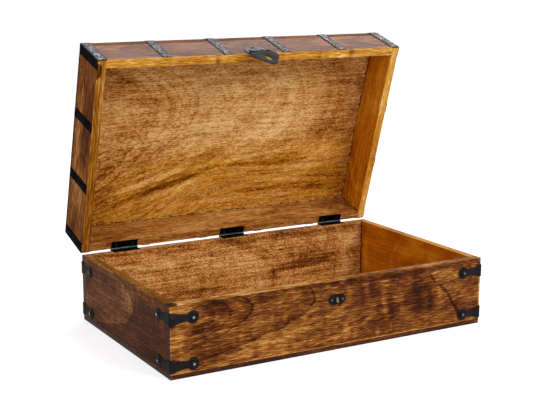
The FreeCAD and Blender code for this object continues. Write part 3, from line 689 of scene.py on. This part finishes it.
# Faded stain with a painted sheen on the front, redder stain on the ends and top, bare wood inside
# the back, and the rim of the left end.
FADED_SHEEN = [(0.0, "#2e1308"), (0.3, "#5b321f"), (0.52, "#7b482d"), (0.76, "#996646"), (1.0, "#b88664")]
RUSSET = [(0.0, "#1e0900"), (0.3, "#4e2200"), (0.55, "#773e0a"), (0.8, "#985c20"), (1.0, "#c08e54")]
TAN = [(0.0, "#4c2604"), (0.3, "#824816"), (0.55, "#a76a2b"), (0.8, "#c08848"), (1.0, "#d9a866")]
ORANGE = [(0.0, "#4e2602"), (0.3, "#824a08"), (0.55, "#a6671e"), (0.8, "#c0863a"), (1.0, "#deb26c")]
SANDY = "#e2b26a"            # dried glue and pale dust in the joints of the panel
lid_front_marks = [
    (146, 91, 6, 2.5, 0, -0.4),
    (96, 91, 3, 1.5, 0, -0.3),
    (-60, 91, 4, 1.5, 0, -0.25),
    (0, 102, 260, 7, 0, -0.16),
    (-140, 100, 50, 7, 0, -0.10),
    (60, 146, 220, 12, 0, 0.16),
    (130, 88, 110, 5, 0, 0.14),
]
mango("lid_front", "X", "Z", heart=(120, 70), taper=0.1, ring=3.4, seed=56.0, outside=FADED_SHEEN,
      wax=0.19, lines=0.16, curl=0.06, sway=12, fibres=1.3, grain=(12.0, 1.6), patches=0.6,
      marks=lid_front_marks, **lying_shut)

lid_back_marks = [(-195, 108, 32, 26, 0, -0.14), (195, 108, 34, 28, 0, -0.18), (45, 112, 60, 18, 0, 0.12)]
mango("lid_back", "X", "Z", heart=(150, 84), taper=0.06, ring=3.6, seed=67.0, inside=TAN, rim=TAN,
      lines=0.12, curl=0.04, fibres=1.6, seam_palest=SANDY, marks=lid_back_marks, **lying_shut)

lid_left_marks = [
    (-40, 108, 90, 8, 0, -0.14),
    (0, 136, 130, 12, 0, 0.12),
    (-100, 90, 60, 5, 0, 0.22),
    (95, 90, 60, 5, 0, -0.18),
]
mango("lid_left", "Y", "Z", heart=(112, 76), taper=0.05, ring=3.2, seed=78.0, outside=RUSSET,
      rim=ORANGE, wax=0.015, lines=0.2, curl=0.06, sway=10, fibres=1.3, grain=(16.0, 1.3),
      marks=lid_left_marks, spills=[(-121, -224, 10, 7)], **lying_shut)
mango("lid_right", "Y", "Z", heart=(105, 80), taper=0.05, ring=3.4, seed=89.0, inside=AMBER,
      outside=RUSSET, pale=0.05, lines=0.1, curl=0.06, fibres=1.0, **lying_shut)

panel_marks = [
    # Dark sweep near the left hinge, between pale ones.
    (-90, 74, 88, 5, -16, -0.46),
    (-105, 89, 85, 4, -17, 0.22),
    (-112, 63, 82, 5, -17, 0.36),
    (-125, 50, 70, 3, -18, -0.16),
    # Streaks to the right of it.
    (45, 39, 60, 3, -7, 0.34),
    (70, 52, 100, 4, 0, -0.22),
    (100, 62, 110, 4, 2, 0.14),
    (-12, 68, 36, 8, -10, -0.12),
    (110, 96, 100, 5, 3, -0.18),
    (20, 106, 120, 4, 0, 0.20),
    (120, 84, 60, 4, 4, 0.16),
    # Broad shades.
    (160, -20, 30, 60, 0, -0.10),
    (-165, -88, 26, 12, 20, -0.14),
    (0, -40, 190, 60, 0, 0.10),
    (10, -10, 80, 60, 0, 0.16),
    (-190, 100, 36, 30, 0, -0.16),
    (185, 96, 50, 40, 0, -0.20),
    (-190, 40, 20, 30, 0, -0.08),
]
panel_years = [(116, 1.2, 0.16), (119, 0.8, 0.10), (122, 1.2, 0.20), (127, 0.8, 0.14),
               (131, 1.2, 0.22), (134, 0.8, 0.1), (137, 1.2, 0.18)]
mango("lid_top", "X", "Y", heart=(-42, 10.8), taper=0.25, ring=4.5, seed=90.0, outside=RUSSET,
      wax=0.04, thirst=0.0, lines=0.06, curl=0.12, sway=30, fibres=1.4, grain=(4.5, 0.9),
      patches=0.5, years=panel_years, marks=panel_marks, fan=(-10, 0.3, -20, 100),
      honey=(-5, 50, 1.0), seam_palest=SANDY, **lying_shut)

# ---- Straps over the lid ---------------------------------------------
# Flat iron bands, hammered all over cold with a small ball pein, bent round the lid's edges and
# blacked. Grey specks on the ridges between the dents are painted glints that also stand for worn
# steel, and they are left off the drops at the ends of the long straps.
strap_tree, given = geometry_tree("hammered strap", [
    ("Across", "Vector"), ("Width", "Float"), ("Thickness", "Float"), ("Bend", "Float"),
    ("Facet", "Float"), ("Dent size", "Float"), ("Dent depth", "Float"), ("Unspecked", "Float"),
    ("Seed", "Float"), ("Finish", "Material")])
tree = strap_tree
line = add(tree, "MeshToCurve", [given["Geometry"]])
feeds = {"Curve": line, "Count": 5, "Radius": given["Bend"], "Limit Radius": True}
line = add(tree, "FilletCurve", feeds, mode="POLY")
length = add(tree, "CurveLength", [line])
lengthwise = add(tree, "Math", [length, given["Facet"]], operation="DIVIDE")
widthwise = add(tree, "Math", [given["Width"], given["Facet"]], operation="DIVIDE")
size = add(tree, "CombineXYZ", [length, given["Width"], given["Thickness"]])
feeds = {"Size": size, "Vertices X": lengthwise, "Vertices Y": widthwise, "Vertices Z": 2}
bar = add(tree, "MeshCube", feeds)
x, y, z = add(tree, "SeparateXYZ", [add(tree, "InputPosition")], out=None)
along = add(tree, "Math", [length, 0.5, x], operation="MULTIPLY_ADD")
top = add(tree, "Math", [z, 0.0], operation="GREATER_THAN")
dent_size = add(tree, "CombineXYZ", [given["Dent size"]] * 3)
blow = add(tree, "VectorMath", [add(tree, "CombineXYZ", [along, y, 0.0]), dent_size], operation="DIVIDE")
blow = add(tree, "VectorMath", [blow, add(tree, "CombineXYZ", [0.0, 0.0, given["Seed"]])])
feeds = {"Vector": blow, "Scale": 1.0, "Smoothness": 0.2}
cell = add(tree, "TexVoronoi", feeds, out="Distance", feature="SMOOTH_F1")
dent = add(tree, "MapRange", [cell, 0.1, 0.72, 1.0, 0.0], interpolation_type="SMOOTHSTEP")
side = add(tree, "Math", [y, given["Width"]], operation="DIVIDE")
side = add(tree, "Math", [side, 2.0], operation="MULTIPLY")
side = add(tree, "Math", [side], operation="ABSOLUTE")
filed = add(tree, "MapRange", [side, 0.78, 1.0, 0.0, 1.0], interpolation_type="SMOOTHSTEP")
sunk = add(tree, "Math", [add(tree, "Math", [dent, filed]), top], operation="MULTIPLY")
sunk = add(tree, "Math", [sunk, given["Dent depth"]], operation="MULTIPLY")
raised = add(tree, "Math", [given["Thickness"], 0.5, z], operation="MULTIPLY_ADD")
raised = add(tree, "Math", [raised, sunk], operation="SUBTRACT")
feeds = {"Vector": blow, "Scale": 0.6, "Detail": 1.0}
narrow = add(tree, "MapRange", [add(tree, "TexNoise", feeds), 0.0, 1.0, 1.0, 0.94])
sideways = add(tree, "Math", [y, narrow], operation="MULTIPLY")

# Specks of painted glint and wear lie on the ridges in patches, not along the edges of the strap,
# and hardly past its corners.
patchy = add(tree, "TexNoise", {"Vector": blow, "Scale": 0.9, "Detail": 2.0})
patchy = add(tree, "MapRange", [patchy, 0.30, 0.46, 0.35, 1.0])
ridge = add(tree, "MapRange", [cell, 0.22, 0.60, 0.22, 1.0], interpolation_type="SMOOTHSTEP")
inner = add(tree, "MapRange", [side, 0.9, 0.6, 0.0, 1.0], interpolation_type="SMOOTHSTEP")
to_end = add(tree, "Math", [length, along], operation="SUBTRACT")
to_end = add(tree, "Math", [along, to_end], operation="MINIMUM")
to_end = add(tree, "Math", [to_end, given["Unspecked"]], operation="SUBTRACT")
speck_run = add(tree, "MapRange", [to_end, 0.0, 0.003, 0.04, 1.0])
rubbed = add(tree, "Math", [ridge, patchy], operation="MULTIPLY")
for share in (inner, top, speck_run):
    rubbed = add(tree, "Math", [rubbed, share], operation="MULTIPLY")
feeds = {"Geometry": bar, "Name": "rubbed", "Value": rubbed}
bar = add(tree, "StoreNamedAttribute", feeds, data_type="FLOAT", domain="POINT")

# The bar is laid along the line, square to it.
_, at, tangent, _ = add(tree, "SampleCurve", {"Curves": line, "Length": along}, out=None, mode="LENGTH")
outward = add(tree, "VectorMath", [given["Across"], tangent], operation="CROSS_PRODUCT")
outward = add(tree, "VectorMath", {0: outward, "Scale": raised}, operation="SCALE")
aside = add(tree, "VectorMath", {0: given["Across"], "Scale": sideways}, operation="SCALE")
at = add(tree, "VectorMath", [add(tree, "VectorMath", [at, outward]), aside], operation="SUBTRACT")
bar = add(tree, "SetPosition", {"Geometry": bar, "Position": at})
blunt = add(tree, "Math", [add(tree, "InputMeshEdgeAngle"), 0.9], operation="LESS_THAN")
bar = add(tree, "SetShadeSmooth", {"Geometry": bar, "Shade Smooth": blunt}, domain="EDGE")
bar = add(tree, "RealizeInstances", [bar])
add(tree, "NodeGroupOutput", [add(tree, "SetMaterial", {"Geometry": bar, "Material": given["Finish"]})])


def speckled(tree, place, drift):
    """Ridges of painted glint and wear, each broken into grains of 2 mm, three times coarser than the scale
    is.
    """
    grains = add(tree, "TexNoise", {"Vector": place, "Scale": 480.0, "Detail": 1.0})
    grains = add(tree, "MapRange", [grains, 0.40, 0.58, 0.15, 1.0])
    return add(tree, "Math", [wear_and_glint_spots(tree, place, drift), grains], operation="MULTIPLY")


# Hammered black iron: dull black in the dents and on the drops at the ends of the lid, with grey
# specks on the ridges that are painted glints and worn steel. The crosswise straps are handled more
# and have a little gloss.
hammered = dict(dark="#060507", light="#141217", rough=0.22, grain_mm=2.5, depth_mm=0.03, where=speckled)
long_iron = blacked("hammered black iron", gloss=0.0004, other="#8c8086", **hammered)
cross_iron = blacked("hammered black iron, rubbed bright", gloss=0.03, other="#887b80", **hammered)
strap_t = lid_low.x - shut_box("strap_long_2")[0].x
strap_foot = shut_box("strap_cross_2")[0].z
ALL_SPECKED = -1.0              # specked with painted glint to both ends
strap_size = {"Thickness": strap_t, "Bend": 0.0006, "Facet": 0.0009, "Dent size": 0.0040,
              "Dent depth": 0.0003}
straps, crossings = [], []
for number in range(1, 7):
    name = "strap_cross_%d" % number
    left, right = shut_box(name)[0].x, shut_box(name)[1].x
    crossings.append((left, right))
    middle = (left + right) / 2
    path = [(middle, lid_low.y, strap_foot), (middle, lid_low.y, lid_high.z),
            (middle, lid_high.y, lid_high.z), (middle, lid_high.y, strap_foot)]
    straps.append((name, path, Vector((1, 0, 0)), right - left, ALL_SPECKED, cross_iron))
LAP_RUN = 0.003              # length of the step where one strap climbs over another
LAP_PLAY = 0.0003            # and how far it stays clear of its edge
for number in range(1, 5):
    name = "strap_long_%d" % number
    front, back = shut_box(name)[0].y, shut_box(name)[1].y
    wood, iron = lid_high.z, lid_high.z + strap_t
    steps = []
    for left, right in crossings:
        steps += [(left - LAP_PLAY - LAP_RUN, wood), (left - LAP_PLAY, iron),
                  (right + LAP_PLAY, iron), (right + LAP_PLAY + LAP_RUN, wood)]
    steps[:2] = [(lid_low.x, strap_foot), (lid_low.x, iron)]         # the end straps lap over the corners
    steps[-2:] = [(lid_high.x, iron), (lid_high.x, strap_foot)]
    path = [(step_x, (front + back) / 2, step_z) for step_x, step_z in steps]
    across = swing.to_3x3() @ Vector((0, -1, 0))
    straps.append((name, path, across, back - front, lid_high.z - strap_foot, long_iron))
for number, (name, path, across, width, unspecked, finish) in enumerate(straps):
    values = dict(strap_size, Width=width, Seed=7.0 * number, Across=tuple(across), Unspecked=unspecked,
                  Finish=finish)
    points = [swing @ Vector(point) for point in path]
    runs = [(i, i + 1) for i in range(len(path) - 1)]
    strap = made_by(strap_tree, "hammered_" + name, points, values, edges=runs)
    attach(strap, "lid")
    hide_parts(name)

# ---- Hasp ------------------------------------------------------------
# A plate with a rounded top, nailed to the front of the lid, and a slotted leaf on a pin below it.
# Both are cut from one sheet and filed; the leaf hangs free and drops over the staple.
hasp_pin = pins["hasp_hinge"]
BARREL_R = 0.0030            # radius of its knuckles


def barrel_shade(tree, place, drift):
    """The knuckles round the hasp's pin, painted black as shade."""
    reach = add(tree, "VectorMath", [from_pin(tree, place, hasp_pin)], out="Value", operation="LENGTH")
    return add(tree, "MapRange", [reach, BARREL_R, BARREL_R - 0.0003, 0.0, 1.0])


# The plate is a mottled light grey, a painted sheen of the bright room; the leaf keeps an even,
# darker grey under its wax. On both, the knuckles round the pin are painted black as shade.
plate_iron = blacked("rubbed iron plate", "#3c3a40", "#8a8a90", rough=0.4, grain_mm=3.0,
                     depth_mm=0.08, gloss=0.03, other="#050405", where=barrel_shade)
hasp_iron = blacked("waxed grey iron", "#2d2c2e", "#3c3b3c", rough=0.6, grain_mm=2.0,
                    depth_mm=0.06, gloss=0.03, other="#050405", where=barrel_shade)
softened("hasp_plate", "lid", plate_iron, edge=0.00025)
softened("hasp_leaf", "hasp_leaf", hasp_iron, edge=0.0003)
dress("hasp_pin", bracket_iron)
low, high = shut_box("hasp_plate")
plate_face = lid_low.y - PLATE_T
EDGE_IN = 0.00572            # edge of the plate to the middle of a nail
PAIR_UP = 0.0089             # rim of the lid to the lower pair of nails
pair_z = lid_rim_z + PAIR_UP
hasp_heads = [(0.0, plate_face, high.z - EDGE_IN), (low.x + EDGE_IN, plate_face, pair_z),
              (high.x - EDGE_IN, plate_face, pair_z)]
facing = swing.to_3x3() @ Vector((0, -1, 0))
nails = made_by(nail_tree, "domed_hasp_nails", [swing @ Vector(point) for point in hasp_heads],
                dict(small_size, Seed=8), outward=[facing] * 3)
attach(nails, "lid")
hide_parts("hasp_nails")

# ---- Studio ----------------------------------------------------------
# A white paper sweep, three softboxes and a pale room. Paper and room are lifted to plain white
# only where they are looked at, straight or in metal, so the chest is lit at a plain level.


def looked_at(tree):
    """1 where something is seen straight, in metal or through glass, and 0 where it only gives light."""
    ray = add(tree, "LightPath", out=None)
    seen = add(tree, "Math", [ray["Is Camera Ray"], ray["Is Glossy Ray"]], operation="MAXIMUM")
    return add(tree, "Math", [seen, ray["Is Transmission Ray"]], operation="MAXIMUM")


SWEEP = 30.0                 # half the paper's width
PAPER_GLOW = 0.62            # lifts the paper to white where it is looked at
ROOM = 0.6                   # light of the pale room
floor_mesh = bpy.data.meshes.new("floor")
ends = [(-SWEEP, -SWEEP, 0), (SWEEP, -SWEEP, 0), (SWEEP, SWEEP, 0), (-SWEEP, SWEEP, 0)]
floor_mesh.from_pydata(ends, [], [(0, 1, 2, 3)])
floor = bpy.data.objects.new("floor", floor_mesh)
bpy.context.scene.collection.objects.link(floor)
floor.location.z = -0.0002
white, tree = new_material("white paper sweep")
paper = add(tree, "BsdfDiffuse", {"Color": linear("#d8d8d8")})
lift = add(tree, "Math", [looked_at(tree), PAPER_GLOW], operation="MULTIPLY")
glow = add(tree, "Emission", {"Strength": lift})
add(tree, "OutputMaterial", [add(tree, "AddShader", [paper, glow])])
floor_mesh.materials.append(white)

world = bpy.data.worlds.new("studio")
bpy.context.scene.world = world
world.use_nodes = True
world.node_tree.nodes.clear()
tree = world.node_tree
level = add(tree, "Math", [looked_at(tree), 1 - ROOM, ROOM], operation="MULTIPLY_ADD")
add(tree, "OutputWorld", [add(tree, "Background", {"Color": (1, 1, 1, 1), "Strength": level})])

softboxes = [
    ("key", (0.9, -1.9, 1.7), (0, 0, 0.15), 0.9, 0.9, 26.0),
    ("fill", (-2.0, -1.3, 0.9), (0, 0, 0.15), 1.2, 1.2, 10.0),
    ("back strip", (0.95, 1.35, 1.4), (0.95, 0.06, 0.35), 1.6, 0.12, 9.0),
]
for name, at, aim, wide, high, watts in softboxes:
    light = bpy.data.lights.new(name, "AREA")
    light.shape = "RECTANGLE"
    light.size = wide
    light.size_y = high
    light.energy = watts
    lamp = bpy.data.objects.new(name, light)
    lamp.location = at
    lamp.rotation_euler = (Vector(aim) - Vector(at)).to_track_quat("-Z", "Y").to_euler()
    bpy.context.scene.collection.objects.link(lamp)

# The camera stands 1.5 m away, left of the front and a little above the open lid.
camera = bpy.data.objects.new("camera", bpy.data.cameras.new("camera"))
camera.location = (-0.75974, -1.28146, 0.46784)
looking = Vector((0.476922, 0.850682, -0.221101))
camera.rotation_euler = looking.to_track_quat("-Z", "Y").to_euler()
camera.data.lens = 76.488
camera.data.shift_x = 0.0398
camera.data.shift_y = 0.0355
bpy.context.scene.collection.objects.link(camera)
bpy.context.scene.camera = camera
bpy.context.scene.view_settings.view_transform = "Standard"
